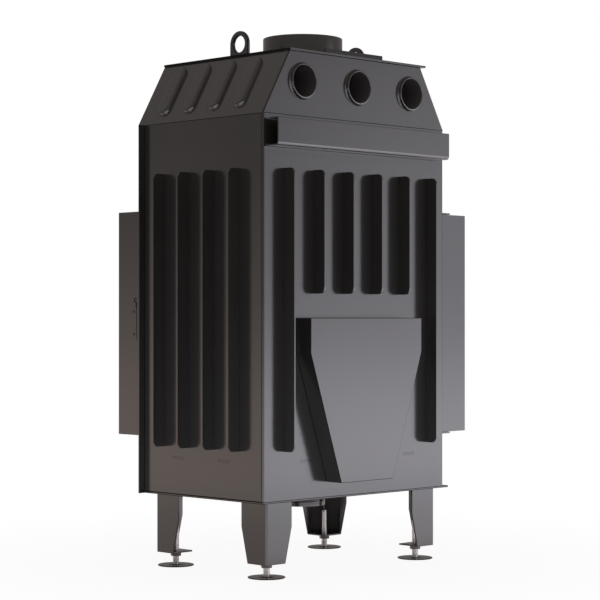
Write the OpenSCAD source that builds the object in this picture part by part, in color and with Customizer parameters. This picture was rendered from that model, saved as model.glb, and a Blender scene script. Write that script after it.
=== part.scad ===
// Steel wood-burning fireplace insert with a corner-glazed door, a finned back and a levelling foot under each leg.
// Every piece is drawn on a bench grid: u runs from the right side face to the glazed left side, v runs from the
// back face to the front, z is the height above the floor. seat() turns that grid so that the front faces -Y.

/* [Body] */
// Width between the two side faces
body_w = 640; // [600:1:720]
// Depth from the back face to the front frame plate
body_d = 427; // [410:1:480]
// Height of the underside of the bottom plate above the floor
base_z = 180; // [165:1:200]
// Height of the panels from the underside of the bottom plate to the shoulder
body_h = 916; // [900:1:960]
// Height of the sloping hood above the shoulder
hood_h = 160; // [150:1:190]
// How far each hood slope leans in
hood_inset = 91; // [80:1:100]
// Thickness of the body panels
panel_t = 5; // [4:0.5:6]
// Thickness of the two plates that frame the door opening
frame_t = 4; // [3:0.5:5]
// How far the front frame plate stands out past the right side
flange_w = 17; // [16:1:30]

/* [Top] */
// Outside diameter of the flue collar
flue_d = 200; // [150:1:210]
// Wall of the flue collar
flue_wall = 2; // [1.5:0.5:3]
// Height of the flue collar above the top plate
flue_h = 62; // [40:1:80]
// Distance from the back face to the middle of the flue
flue_v = 190; // [180:1:205]
// How far the top plate stands out past the slopes and the front
top_lip = 6; // [4:1:18]
// How far the top plate stands out past the back
top_back_lip = 5; // [2:1:8]
// Outer radius of a lifting eye
eye_r = 32; // [28:1:36]
// Diameter of the hole in a lifting eye
eye_hole_d = 41; // [34:1:44]
// Thickness of a lifting eye
eye_t = 8; // [6:1:10]
// Distance of a lifting eye from the side face
eye_side = 115; // [105:1:125]

/* [Heat tubes] */
// Outside diameter of a heat tube
tube_d = 84; // [74:1:90]
// Wall of a heat tube
tube_wall = 4; // [2:0.5:5]
// Distance of the outer heat tubes from the side faces
tube_side = 130; // [120:1:140]
// How far a heat tube stands out of the back
tube_out = 9; // [4:1:15]

/* [Hood ribs] */
// Number of pressed ribs on each hood slope
rib_count = 4; // [2:1:4]
// Distance of the rearmost pressed rib from the back face
rib_back = 101; // [100:1:120]
// Width of a pressed rib
rib_w = 41; // [30:1:48]
// How far a pressed rib stands out
rib_out = 9; // [6:0.5:12]

/* [Fins] */
// How far a cooling fin stands out
fin_out = 37; // [25:1:45]
// Thickness of a cooling fin
fin_t = 5; // [4:0.5:6]
// Radius of the outer corners of a fin
fin_r = 16; // [8:1:20]
// Number of fins on the back
back_fin_count = 6; // [4:1:6]
// Distance of the outer back fins from the side faces
back_fin_side = 66; // [50:1:75]
// Number of fins on the right side
side_fin_count = 4; // [2:1:4]
// Distance of the rearmost side fin from the back face
side_fin_back = 80; // [60:1:90]

/* [Rear rail] */
// Distance of the right end of the hanging rail from the side face
rail_side = 6; // [2:1:20]
// Height of the hanging rail
rail_h = 66; // [55:1:75]
// How far the hanging rail stands out
rail_out = 45; // [38:1:48]
// Thickness of the hanging rail
rail_t = 3; // [2:0.5:4]

/* [Rear air duct] */
// How far the rear air duct stands out
duct_out = 49; // [45:1:60]
// Width of the rear air duct at its top
duct_w = 392; // [360:1:420]
// Width of the rear air duct at its foot
duct_foot_w = 183; // [160:1:220]

/* [Legs and feet] */
// Width of a leg flange at its top
leg_w = 85; // [75:1:90]
// Width of a leg flange at its foot
leg_foot_w = 64; // [56:1:66]
// Thickness of a leg
leg_t = 4; // [3:0.5:5]
// Diameter of a foot stud
stud_d = 16; // [12:1:18]
// Diameter of a foot disc
disc_d = 90; // [70:1:96]
// Thickness of a foot disc
disc_t = 4; // [3:0.5:6]

/* [Air supply] */
// Outside diameter of the intake spigot
spigot_d = 125; // [100:1:130]
// Length of the intake spigot below the bottom plate
spigot_len = 35; // [30:1:50]
// Radius of the air control rod
rod_r = 5; // [4:0.5:6]

/* [Firebox] */
// Thickness of the firebox lining
lining_t = 30; // [25:1:35]
// Height of the door opening
opening_h = 515; // [500:1:520]
// Width of the frame strip beside the door opening
frame_strip = 45; // [43:1:48]
// Height of the log guard
guard_h = 60; // [45:1:80]

/* [Door] */
// Height of the door
door_h = 559.5; // [559:0.5:562]
// Depth of the front wing of the door
door_d = 92; // [90:1:110]
// Width of the side wing of the door
wing_w = 93; // [90:1:100]
// Gap between the closed door and the body
door_gap = 5; // [4.5:0.5:6]
// Thickness of the door sheet
door_t = 3; // [2:0.5:3]
// Width of the upright frame members beside the glass
stile_w = 76; // [74:1:84]
// Width of the frame members above and below the glass
rail_w = 43.5; // [43:0.5:48]
// Thickness of the glass
glass_t = 4; // [4:0.5:5]

/* [Handle] */
// Radius of the handle grip
grip_r = 12; // [10:0.5:14]
// Length of the handle grip
grip_len = 132; // [100:1:150]
// Radius of the handle shaft
shaft_r = 6; // [5:0.5:7]

/* [Hidden] */

// Overrun of a cut past the surface that it opens
over = 1;
// Gap between pieces that are put together and stay
fit = 0.2;
// Running clearance round a shaft or a pin
run = 0.05;
// Segments of a large and of a small circle
large_fn = 96;
small_fn = 40;

// Heights of the body
floor_z = base_z + panel_t;
shoulder_z = base_z + body_h;
top_z = shoulder_z + hood_h;
lid_z = top_z - panel_t;
tube_share = 0.528;
tube_z = shoulder_z + tube_share * hood_h;
// Lean of the hood slopes
hood_tilt = atan2(hood_inset, hood_h);
lid_lean = hood_inset * (lid_z - shoulder_z) / hood_h;
slope_t = panel_t - over;
slope_run = slope_t / cos(hood_tilt);

// Front and left planes of the body and of the door
front_v = body_d + frame_t;
door_v = front_v + door_gap;
door_front = door_v + door_d;
door_u = body_w + door_gap;
door_side = door_u + wing_w;
door_rise = 142.5;
door_z = base_z + door_rise;
door_top = door_z + door_h;

// Bench grid to frame
grip_reach = 33;
grip_v = door_front + grip_reach;
right_x = (door_side - fin_out) / 2;
back_y = (grip_v + grip_r - duct_out) / 2;

sheet_black = [0.17, 0.165, 0.16];
frame_black = [0.13, 0.13, 0.135];
bright_steel = [0.75, 0.75, 0.78];
board_buff = [0.78, 0.70, 0.55];
pane_tint = [0.45, 0.55, 0.6, 0.5];
rope_grey = [0.5, 0.49, 0.46];

// Turns the bench grid so that the front faces -Y and the footprint is centred
module seat() {
    translate([right_x, back_y, 0]) rotate([0, 0, 180]) children();
}

// Box between two values on each of the three bench axes
module slab(u, v, z) {
    translate([u[0], v[0], z[0]]) cube([u[1] - u[0], v[1] - v[0], z[1] - z[0]]);
}

// Round bar along u, along v or upright
module bar_u(u, v, z, r, fn = small_fn) {
    translate([u[0], v, z]) rotate([0, 90, 0]) cylinder(h = u[1] - u[0], r = r, $fn = fn);
}

module bar_v(u, v, z, r, fn = small_fn) {
    translate([u, v[0], z]) rotate([-90, 0, 0]) cylinder(h = v[1] - v[0], r = r, $fn = fn);
}

module bar_z(u, v, z, r, fn = small_fn) {
    translate([u, v, z[0]]) cylinder(h = z[1] - z[0], r = r, $fn = fn);
}

// Outline drawn in u and z, given a thickness along v
module facing(v) {
    translate([0, v[1], 0]) rotate([90, 0, 0]) linear_extrude(v[1] - v[0]) children();
}

// Outline drawn in v and z, given a length along u
module across(u) {
    translate([u[0], 0, 0]) rotate([90, 0, 90]) linear_extrude(u[1] - u[0]) children();
}

// Body panels
tab_w = 39;
hearth_rise = 86.5;
tab_z = floor_z + hearth_rise;
tab_back = 135;
tab_front = 128;
tab_v = [tab_back, body_d - tab_front];
tab_right = 143;
tab_left = 133;
tab_u = [tab_right, body_w - tab_left];
return_w = 30;
return_r = panel_t;
duct_rise = 40.5;
duct_knee = 311.5;
duct_head = 84;
duct_z = [base_z + duct_rise, base_z + duct_rise + duct_knee, base_z + duct_rise + duct_knee + duct_head];
duct_inlet_w = 110;
duct_inlet_h = 28;
duct_inlet_up = 7.5;
duct_inlet = [duct_z[0] + duct_inlet_up, duct_z[0] + duct_inlet_up + duct_inlet_h];
air_hole_r = 8;
air_hole_pitch = 30;
air_hole_count = 12;
air_hole_share = 0.6;
air_hole_z = duct_z[1] + air_hole_share * duct_head;

module air_holes(v) {
    first = body_w / 2 - air_hole_pitch * (air_hole_count - 1) / 2;
    for (i = [0 : air_hole_count - 1]) bar_v(first + i * air_hole_pitch, v, air_hole_z, air_hole_r);
}

module right_side_panel() seat() color(sheet_black) difference() {
    slab([0, panel_t], [panel_t, body_d], [floor_z, shoulder_z]);
    for (v = tab_v)
        slab([-over, panel_t + over], [v - tab_w / 2 - fit, v + tab_w / 2 + fit],
            [tab_z - fit, tab_z + panel_t + fit]);
}

module back_panel() seat() color(sheet_black) difference() {
    union() {
        slab([return_r, body_w - return_r], [0, panel_t], [floor_z, shoulder_z]);
        for (u = [0, body_w - return_r]) intersection() {
            bar_z(u == 0 ? return_r : u, return_r, [floor_z, shoulder_z], return_r);
            slab([u, u + return_r], [0, return_r], [floor_z, shoulder_z]);
        }
        slab([body_w - panel_t, body_w], [return_r, return_w], [floor_z, shoulder_z]);
    }
    for (u = tab_u)
        slab([u - tab_w / 2 - fit, u + tab_w / 2 + fit], [-over, panel_t + over],
            [tab_z - fit, tab_z + panel_t + fit]);
    slab([(body_w - duct_inlet_w) / 2, (body_w + duct_inlet_w) / 2], [-over, panel_t + over], duct_inlet);
    air_holes([-over, panel_t + over]);
}

// Plates that frame the opening
opening_lap = 22.5;
opening_z = door_z + opening_lap;
opening_top = opening_z + opening_h;
skirt_z = base_z;
rod_rise = 14;
rod_z = floor_z + rod_rise;
tube_u = [tube_side, body_w / 2, body_w - tube_side];

slope_in = slope_run + fit;

module front_frame_plate() seat() color(frame_black) facing([body_d, front_v]) difference() {
    polygon([
        [-flange_w, skirt_z], [body_w, skirt_z], [body_w, shoulder_z], [body_w - slope_in, shoulder_z],
        [body_w - lid_lean - slope_in, lid_z], [lid_lean + slope_in, lid_z], [slope_in, shoulder_z],
        [-flange_w, shoulder_z]
    ]);
    translate([frame_strip, opening_z]) square([body_w, opening_h]);
    for (u = tube_u) translate([u, tube_z]) circle(tube_d / 2 + fit, $fn = large_fn);
    translate([body_w / 2, rod_z]) circle(rod_r + run, $fn = small_fn);
}

module left_frame_plate() seat() color(frame_black) difference() {
    slab([body_w - frame_t, body_w], [return_w, body_d], [floor_z, shoulder_z]);
    slab([body_w - frame_t - over, body_w + over], [frame_strip, body_d + over], [opening_z, opening_top]);
}

// Bottom plate with the shelf under the side wing of the door
shelf_w = 20;
spigot_wall = 2;
spigot_shift = 9;
spigot_v = flue_v + spigot_shift;
intake_r = spigot_d / 2 - spigot_wall;

module bottom_plate() seat() color(sheet_black) difference() {
    slab([0, body_w + shelf_w], [0, body_d], [base_z, floor_z]);
    bar_z(body_w / 2, spigot_v, [base_z - over, floor_z + over], intake_r, large_fn);
}

// Hood slopes with pressed ribs; they reach past the frame plate as a lip for the cladding
hood_lip = 25;
hood_front = body_d + hood_lip;
rib_front = 53.9;
rib_pitch = (body_d - rib_back - rib_front) / (rib_count - 1);
rib_foot = 20;
rib_head = 16;
rib_low = shoulder_z + rib_foot;
rib_high = top_z - rib_head;
rib_span = (rib_high - rib_low) / cos(hood_tilt) - rib_w;
rib_start = (rib_low - shoulder_z) / cos(hood_tilt) + rib_w / 2;

// Lays its children on the outer face of the right slope, x inward and z up the slope
module on_slope() {
    translate([0, 0, shoulder_z]) rotate([0, hood_tilt, 0]) children();
}

// Flat rib with round ends, on each place of the slope, between two depths
module rib_row(r, depth) on_slope() across(depth) for (i = [0 : rib_count - 1]) {
    v = rib_back + i * rib_pitch;
    translate([v - r, rib_start]) square([2 * r, rib_span]);
    for (end = [rib_start, rib_start + rib_span]) translate([v, end]) circle(r, $fn = large_fn);
}

module hood_slope() difference() {
    union() {
        facing([panel_t, hood_front]) polygon([
            [0, shoulder_z], [lid_lean, lid_z], [lid_lean + slope_run, lid_z], [slope_run, shoulder_z]
        ]);
        rib_row(rib_w / 2, [-rib_out, slope_t / 2]);
    }
    rib_row(rib_w / 2 - slope_t, [-rib_out + slope_t, slope_t + over]);
}

module hood_right_slope() seat() color(sheet_black) hood_slope();

module hood_left_slope() seat() color(sheet_black) translate([body_w, 0, 0]) mirror([1, 0, 0]) hood_slope();

module hood_back_plate() seat() color(sheet_black) facing([0, panel_t]) difference() {
    polygon([[0, shoulder_z], [body_w, shoulder_z], [body_w - lid_lean, lid_z], [lid_lean, lid_z]]);
    for (u = tube_u) translate([u, tube_z]) circle(tube_d / 2 + fit, $fn = large_fn);
}

// Top plate and what stands on it
top_left_lip = 18;
lid_u = [hood_inset - top_lip, body_w - hood_inset + top_left_lip];
lid_v = [-top_back_lip, hood_front];
eye_shift = 12;
eye_v = flue_v + eye_shift;
eye_sink = 1;
eye_z = top_z + eye_r - eye_sink;
stiffener_h = 23;
stiffener_foot = 24;
stiffener_t = 4;
stiffener_right = 48;
stiffener_left = 158;
stiffener_u = [body_w / 2 - stiffener_right, body_w / 2 + stiffener_left];
stiffener_v = flue_v - flue_d / 2 - stiffener_foot - stiffener_t;

module top_plate() seat() color(sheet_black) difference() {
    slab(lid_u, lid_v, [lid_z, top_z]);
    bar_z(body_w / 2, flue_v, [lid_z - over, top_z + over], flue_d / 2 - flue_wall, large_fn);
}

module flue_collar() seat() color(sheet_black) difference() {
    bar_z(body_w / 2, flue_v, [top_z, top_z + flue_h], flue_d / 2, large_fn);
    bar_z(body_w / 2, flue_v, [top_z - over, top_z + flue_h + over], flue_d / 2 - flue_wall, large_fn);
}

module top_stiffener() seat() color(sheet_black) union() {
    slab(stiffener_u, [stiffener_v, stiffener_v + stiffener_foot], [top_z, top_z + stiffener_t]);
    slab(stiffener_u, [stiffener_v, stiffener_v + stiffener_t], [top_z, top_z + stiffener_h]);
}

module lifting_eyes() seat() color(sheet_black)
    for (u = [eye_side, body_w - eye_side]) translate([u - eye_t / 2, 0, 0]) difference() {
        union() {
            bar_u([0, eye_t], eye_v, eye_z, eye_r, large_fn);
            slab([0, eye_t], [eye_v - eye_r, eye_v + eye_r], [top_z, eye_z]);
        }
        bar_u([-over, eye_t + over], eye_v, eye_z, eye_hole_d / 2, large_fn);
        slab([-over, eye_t + over], [eye_v - eye_r, eye_v + eye_r], [top_z - eye_r, top_z]);
    }

// Heat tubes through the hood
module heat_tube(u) seat() color(sheet_black) difference() {
    bar_v(u, [-tube_out, front_v], tube_z, tube_d / 2, large_fn);
    bar_v(u, [-tube_out - over, front_v + over], tube_z, tube_d / 2 - tube_wall, large_fn);
}

module heat_tube_right() heat_tube(tube_u[0]);

module heat_tube_middle() heat_tube(tube_u[1]);

module heat_tube_left() heat_tube(tube_u[2]);

// Hanging rail: a channel open upwards along a slot beside the back panel
rail_left = 28;
rail_drop = 78;
rail_z = shoulder_z - rail_drop;
rail_r = 8;
rail_slot = 12;

// Rectangle in v and z with round lower corners
module trough(v, z, r) {
    translate([v[0] + r, z[0]]) square([v[1] - v[0] - 2 * r, z[1] - z[0]]);
    translate([v[0], z[0] + r]) square([v[1] - v[0], z[1] - z[0] - r]);
    for (c = [v[0] + r, v[1] - r]) translate([c, z[0] + r]) circle(r, $fn = small_fn);
}

module rear_rail() seat() color(sheet_black) across([rail_side, body_w - rail_left]) difference() {
    trough([-rail_out, 0], [rail_z, rail_z + rail_h], rail_r);
    trough([-rail_out + rail_t, -rail_t], [rail_z + rail_t, rail_z + rail_h - rail_t], rail_r - rail_t);
    translate([-rail_t - rail_slot, rail_z + rail_h / 2]) square([rail_slot, rail_h]);
}

// Cooling fins
fin_rise = 120;
fin_drop = 126;
short_fin_h = 296;
fin_z = [base_z + fin_rise, shoulder_z - fin_drop];
short_fin_z = [fin_z[1] - short_fin_h, fin_z[1]];
back_fin_left = 69;
back_fin_pitch = (body_w - back_fin_side - back_fin_left) / (back_fin_count - 1);
side_fin_front = 77;
side_fin_pitch = (body_d - side_fin_back - side_fin_front) / (side_fin_count - 1);

// Fin standing out of a wall at x = 0 towards -x, flat side at y = 0
module fin(z) translate([0, fin_t, 0]) rotate([90, 0, 0]) linear_extrude(fin_t) {
    translate([-fin_out + fin_r, z[0]]) square([fin_out - fin_r, z[1] - z[0]]);
    translate([-fin_out, z[0] + fin_r]) square([fin_out, z[1] - z[0] - 2 * fin_r]);
    for (c = [z[0] + fin_r, z[1] - fin_r]) translate([-fin_out + fin_r, c]) circle(fin_r, $fn = small_fn);
}

module back_fin(i, z) {
    translate([back_fin_side + i * back_fin_pitch + fin_t, 0, 0]) rotate([0, 0, 90]) fin(z);
}

module back_long_fins() seat() color(sheet_black) for (i = [0, back_fin_count - 1]) back_fin(i, fin_z);

module back_short_fins() seat() color(sheet_black)
    for (i = [1 : back_fin_count - 2]) back_fin(i, short_fin_z);

module side_fins() seat() color(sheet_black) for (i = [0 : side_fin_count - 1])
    translate([0, side_fin_back + i * side_fin_pitch, 0]) fin(fin_z);

// Rear air duct: a box that narrows downwards
duct_shift = 14.5;
duct_foot_shift = 15.5;
duct_u = body_w / 2 - duct_shift;
duct_foot_u = body_w / 2 - duct_foot_shift;
duct_t = 3;
// Side wall of the taper measured level, so that it keeps its thickness
duct_level_t = duct_t * norm([(duct_w - duct_foot_w) / 2, duct_z[1] - duct_z[0]]) / (duct_z[1] - duct_z[0]);

module duct_outline(side, end) polygon([
    [duct_foot_u - duct_foot_w / 2 + side, duct_z[0] + end], [duct_foot_u + duct_foot_w / 2 - side, duct_z[0] + end],
    [duct_u + duct_w / 2 - side, duct_z[1]], [duct_u + duct_w / 2 - side, duct_z[2] - end],
    [duct_u - duct_w / 2 + side, duct_z[2] - end], [duct_u - duct_w / 2 + side, duct_z[1]]
]);

module rear_air_duct() seat() color(sheet_black) difference() {
    facing([-duct_out, 0]) duct_outline(0, 0);
    facing([-duct_out + duct_t, over]) duct_outline(duct_level_t, duct_t);
}

// Legs: bent angles that taper towards the foot
leg_right = 18.5;
leg_left = 24;
leg_back = 9;
leg_front = 22;
leg_u = [leg_right, body_w - leg_left];
leg_v = [leg_back, body_d - leg_front];
leg_foot_z = 34;
leg_knee = 59;
leg_knee_z = base_z - leg_knee;
leg_bend_r = 7.5;
stud_in = 35;
leg_places = [
    [leg_u[0], leg_v[0], 1, 1], [leg_u[1], leg_v[0], -1, 1],
    [leg_u[0], leg_v[1], 1, -1], [leg_u[1], leg_v[1], -1, -1]
];

// Puts its children, drawn from an outer corner at 0 towards +x and +y, at one of the four legs
module at_leg(i) {
    p = leg_places[i];
    translate([p[0], p[1], 0]) mirror([p[2] < 0 ? 1 : 0, 0, 0]) mirror([0, p[3] < 0 ? 1 : 0, 0]) children();
}

module rounded_corner(side, r) {
    translate([r, 0]) square([side - r, side]);
    translate([0, r]) square([side, side - r]);
    translate([r, r]) circle(r, $fn = small_fn);
}

module leg_face() polygon([
    [0, leg_foot_z], [leg_foot_w, leg_foot_z], [leg_w, leg_knee_z], [leg_w, base_z], [0, base_z]
]);

module leg(i) seat() color(sheet_black) at_leg(i) intersection() {
    translate([0, 0, leg_foot_z]) linear_extrude(base_z - leg_foot_z) difference() {
        rounded_corner(leg_w, leg_bend_r);
        translate([leg_t, leg_t]) rounded_corner(leg_w, leg_bend_r - leg_t);
    }
    facing([-over, leg_w + over]) leg_face();
    across([-over, leg_w + over]) leg_face();
}

module leg_rear_right() leg(0);

module leg_rear_left() leg(1);

module leg_front_right() leg(2);

module leg_front_left() leg(3);

module leg_base_plates() seat() color(sheet_black) for (i = [0 : 3]) at_leg(i) difference() {
    translate([leg_t, leg_t, leg_foot_z]) linear_extrude(leg_t)
        rounded_corner(leg_foot_w - leg_t, leg_bend_r - leg_t + fit);
    bar_z(stud_in, stud_in, [leg_foot_z - over, leg_foot_z + leg_t + over], stud_d / 2 + fit);
}

// Levelling feet
nut_h = 10;
nut_share = 1.5;
nut_across = stud_d * nut_share;
foot_top_z = 101;

module foot_nuts() seat() color(sheet_black) for (i = [0 : 3]) at_leg(i) difference() {
    translate([stud_in, stud_in, leg_foot_z - nut_h]) cylinder(h = nut_h, r = nut_across / sqrt(3), $fn = 6);
    bar_z(stud_in, stud_in, [leg_foot_z - nut_h - over, leg_foot_z + over], stud_d / 2 + run);
}

module foot(i) seat() at_leg(i) union() {
    color(frame_black) bar_z(stud_in, stud_in, [0, disc_t], disc_d / 2, large_fn);
    color(bright_steel) bar_z(stud_in, stud_in, [disc_t, foot_top_z], stud_d / 2);
}

module foot_rear_right() foot(0);

module foot_rear_left() foot(1);

module foot_front_right() foot(2);

module foot_front_left() foot(3);

// Combustion air: spigot, sliding gate, rod and knob
gate_t = 3;
gate_lap = 12;
gate_half = intake_r + gate_lap;
guide_t = 3;
guide_w = 14;
gate_tab_h = 24;
gate_travel = 70;
rod_stub = 24;
knob_r = 14;
knob_len = 25;
knob_edge = knob_r / 4;

module intake_spigot() seat() color(sheet_black) difference() {
    bar_z(body_w / 2, spigot_v, [base_z - spigot_len, base_z], spigot_d / 2, large_fn);
    bar_z(body_w / 2, spigot_v, [base_z - spigot_len - over, base_z + over], intake_r, large_fn);
}

module air_gate() seat() color(bright_steel) difference() {
    union() {
        slab([body_w / 2 - gate_half, body_w / 2 + gate_half], [spigot_v - gate_half, spigot_v + gate_half],
            [floor_z + fit, floor_z + fit + gate_t]);
        slab([body_w / 2 - gate_tab_h, body_w / 2 + gate_tab_h],
            [spigot_v + gate_half - gate_t, spigot_v + gate_half], [floor_z + fit, floor_z + gate_tab_h]);
    }
    bar_v(body_w / 2, [spigot_v, spigot_v + gate_half + over], rod_z, rod_r + fit);
}

module air_gate_guides() seat() color(sheet_black) for (side = [0, 1])
    translate([side * body_w, 0, 0]) mirror([side, 0, 0]) {
        outer = body_w / 2 - gate_half - fit;
        ends = [spigot_v - gate_half, spigot_v + gate_half + gate_travel];
        slab([outer - guide_t, outer], ends, [floor_z, floor_z + gate_t + 2 * fit + guide_t]);
        slab([outer - guide_t, outer + guide_w - guide_t], ends,
            [floor_z + gate_t + 2 * fit, floor_z + gate_t + 2 * fit + guide_t]);
    }

module air_control_rod() seat() color(bright_steel)
    bar_v(body_w / 2, [spigot_v + gate_half - gate_t, front_v + rod_stub], rod_z, rod_r);

module air_control_knob() seat() color(frame_black) difference() {
    translate([body_w / 2, front_v + rod_stub - knob_len / 2, rod_z]) rotate([-90, 0, 0])
        rotate_extrude($fn = small_fn) {
            square([knob_r, knob_len - knob_edge]);
            square([knob_r - knob_edge, knob_len]);
            translate([knob_r - knob_edge, knob_len - knob_edge]) circle(knob_edge, $fn = small_fn);
        }
    bar_v(body_w / 2, [front_v, front_v + rod_stub + fit], rod_z, rod_r + fit);
}

// Firebox floor, lining and deflectors
chamber_u = [panel_t, body_w - panel_t];
hearth_z = tab_z + panel_t;
lining_rise = 40;
lining_top = opening_top + lining_rise;
board_gap = 0.5;
deflector_gap = 97;
upper_drop = 46;
upper_z = shoulder_z - upper_drop;
upper_gap = 85;
ledge_w = 20;

module chamber_floor() seat() color(sheet_black) union() {
    slab([chamber_u[0], chamber_u[1]], [panel_t, body_d], [tab_z, hearth_z]);
    for (v = tab_v) slab([0, panel_t], [v - tab_w / 2, v + tab_w / 2], [tab_z, hearth_z]);
    for (u = tab_u) slab([u - tab_w / 2, u + tab_w / 2], [0, panel_t], [tab_z, hearth_z]);
}

module lining_back() seat() color(board_buff) difference() {
    mid = (panel_t + lining_t + chamber_u[1]) / 2;
    union() {
        slab([panel_t + lining_t + board_gap, mid - board_gap / 2], [panel_t, panel_t + lining_t],
            [hearth_z, lining_top]);
        slab([mid + board_gap / 2, chamber_u[1] - board_gap], [panel_t, panel_t + lining_t],
            [hearth_z, lining_top]);
    }
    air_holes([panel_t - over, panel_t + lining_t + over]);
}

module lining_right() seat() color(board_buff) {
    mid = (panel_t + body_d) / 2;
    for (v = [[panel_t, mid - board_gap / 2], [mid + board_gap / 2, body_d - board_gap]])
        slab([panel_t, panel_t + lining_t], v, [hearth_z, lining_top]);
}

module lining_floor() seat() color(board_buff) {
    u0 = panel_t + lining_t + board_gap;
    mid = (u0 + chamber_u[1]) / 2;
    for (u = [[u0, mid - board_gap / 2], [mid + board_gap / 2, chamber_u[1] - board_gap]])
        slab(u, [panel_t + lining_t + board_gap, body_d - board_gap], [hearth_z, hearth_z + lining_t]);
}

module deflector_lower() seat() color(board_buff)
    slab([panel_t + board_gap, body_w - panel_t - board_gap], [panel_t + board_gap, body_d - deflector_gap],
        [lining_top, lining_top + lining_t]);

module deflector_upper() seat() color(sheet_black) union() {
    slab([panel_t + board_gap, body_w - panel_t - board_gap], [panel_t + upper_gap, body_d - board_gap],
        [upper_z, upper_z + frame_t]);
    slab([panel_t + board_gap, body_w - panel_t - board_gap],
        [panel_t + upper_gap, panel_t + upper_gap + frame_t], [upper_z, upper_z + ledge_w]);
}

// Angle ledge on a wall at x = 0, with its seat at height z
module ledge(v, z) {
    slab([0, ledge_w], v, [z - frame_t, z]);
    slab([0, frame_t], v, [z - ledge_w, z]);
}

module deflector_supports() seat() color(sheet_black) {
    translate([panel_t, 0, 0]) ledge([return_w, body_d - board_gap], upper_z);
    translate([body_w - frame_t, 0, 0]) mirror([1, 0, 0]) {
        ledge([return_w, body_d - board_gap], upper_z);
        ledge([return_w + lining_t, body_d - deflector_gap], lining_top);
    }
}

// Log guard: an L-shaped fence that stands on the floor lining and lifts out
guard_in = 14;
guard_r = 25;
guard_t = 4;
guard_slot = 8;
guard_slot_pitch = 40;
guard_low_share = 0.333;
guard_high_share = 0.8;

module guard_path(inset) {
    // Rounded corner of the fence, from its right end round to its rear end
    far_u = body_w - panel_t - guard_in - inset;
    far_v = body_d - guard_in - inset;
    near = panel_t + lining_t + guard_in;
    translate([near, near]) square([far_u - near, far_v - near - guard_r]);
    translate([near, near]) square([far_u - near - guard_r, far_v - near]);
    translate([far_u - guard_r, far_v - guard_r]) circle(guard_r, $fn = large_fn);
}

module log_guard() seat() color(sheet_black) difference() {
    bottom = hearth_z + lining_t;
    near = panel_t + lining_t + guard_in;
    translate([0, 0, bottom + fit]) linear_extrude(guard_h) difference() {
        guard_path(0);
        translate([-guard_t, -guard_t]) guard_path(0);
    }
    slab([near - over, near + guard_t], [near - over, body_d - guard_in - guard_t], [bottom, bottom + 2 * guard_h]);
    for (i = [1 : floor((body_w - near) / guard_slot_pitch) - 2]) slab(
        [near + i * guard_slot_pitch, near + i * guard_slot_pitch + guard_slot],
        [body_d - guard_in - 2 * guard_t, body_d - guard_in + over],
        [bottom + guard_low_share * guard_h, bottom + guard_high_share * guard_h]);
}

// Door: a deep L-shaped frame of folded sheet
door_tail = 10;
glass_lap = 12;
seal_w = 10;
seal_side_share = 0.6;
seal_end_share = 1.1;
seal_rim = 2;
seal_u = frame_strip - seal_side_share * seal_w;
seal_v = frame_strip - seal_w;
seal_z = [opening_z - seal_end_share * seal_w, opening_top + seal_end_share * seal_w];
hinge_out = 28;
hinge_in = 22;
hinge_at = [body_w + hinge_out, hinge_in];
hinge_r = 4;
handle_u = 44;
handle_rise = 337.5;
handle_z = door_z + handle_rise;
keeper_u = 18;
keeper_lip = 11;
keeper_h = 22;
keeper_play = 2;
keeper_slot_u = [door_t + keeper_play / 2, keeper_u + keeper_lip + keeper_play];
keeper_slot_z = [handle_z - keeper_h, handle_z + keeper_h];
keyhole_in = 26;
keyhole_v = door_v + keyhole_in;
screw_in = 33;
screw_v = door_v + screw_in;
screw_low_drop = 85.5;
screw_high_drop = 29;
screw_z = [handle_z - screw_low_drop, handle_z - screw_high_drop];
screw_r = 2;
screw_head_r = 4;
key_slit_back = 5;
key_slit_w = 4;
shaft_play = 1;
slit_back = 4;
slit_w = 2;
slit_v = keyhole_v - slit_back;
slit_drop = 97;
slit_h = 80;
slit_z = [handle_z - slit_drop, handle_z - slit_drop + slit_h];

// L-shaped plan of the door, drawn in by inset
module door_plan(inset) {
    translate([inset, door_v + inset]) square([door_side - 2 * inset, door_d - 2 * inset]);
    translate([door_u + inset, door_tail + inset])
        square([wing_w - 2 * inset, door_front - door_tail - 2 * inset]);
}

// Space of the corner window: edge is its distance from the outer ends, face its distance behind the faces
module window(edge, face, z) {
    slab([edge, door_side - face], [door_v - over, door_front - face], z);
    slab([door_u - over, door_side - face], [door_tail + edge, door_front - face], z);
}

// Square ring that follows the seal: front run between v values, side run between u values
module seal_ring(half, front, side) {
    for (z = seal_z) {
        slab([seal_u - half, side[1]], front, [z - half, z + half]);
        slab(side, [seal_v - half, front[1]], [z - half, z + half]);
    }
    slab([seal_u - half, seal_u + half], front, [seal_z[0] - half, seal_z[1] + half]);
    slab(side, [seal_v - half, seal_v + half], [seal_z[0] - half, seal_z[1] + half]);
}

// Heights of the window behind the lip and in the face
inner_window_z = [door_z + rail_w - glass_lap, door_top - rail_w + glass_lap];
face_window_z = [door_z + rail_w, door_top - rail_w];

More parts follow.
